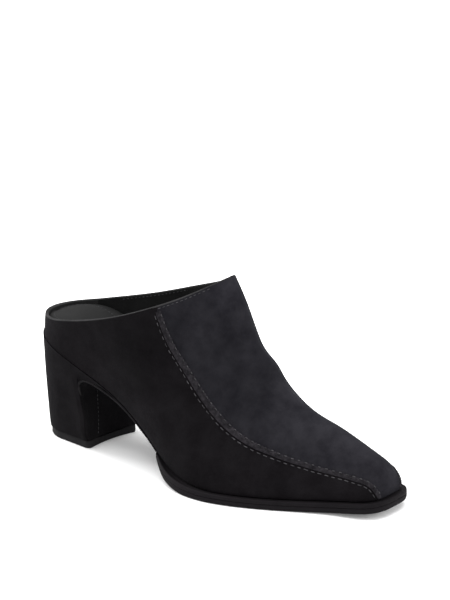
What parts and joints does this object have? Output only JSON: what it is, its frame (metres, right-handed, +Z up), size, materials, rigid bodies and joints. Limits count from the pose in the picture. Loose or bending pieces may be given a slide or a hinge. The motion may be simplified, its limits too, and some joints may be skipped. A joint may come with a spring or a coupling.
{
  "type": "heeled mule shoe",
  "caption": "Backless heeled mule for the right foot: pointed instep, low rim round the heel, square toe, leather-covered block heel, thin rubber forefoot sole.",
  "frame": {"origin": "on the floor, under the middle of the shoe's bounding box", "axes": "+X points to the toe, +Y to the inner (medial) side, +Z up; the shoe stands on z = 0"},
  "size_m": [0.2474, 0.0834, 0.1207],
  "materials": {
    "suede": "charcoal black suede, soft nap, two raised seam strips",
    "insole_leather": "smooth dark grey leather, padded under the heel",
    "sole_rubber": "matt black rubber",
    "heel_suede": "charcoal black suede cover",
    "top_piece_rubber": "matt black rubber"
  },
  "bodies": {
    "root": {"upper": "suede", "insole": "insole_leather", "outsole": "sole_rubber", "heel": "heel_suede", "top_piece": "top_piece_rubber"}
  },
  "joints": []
}
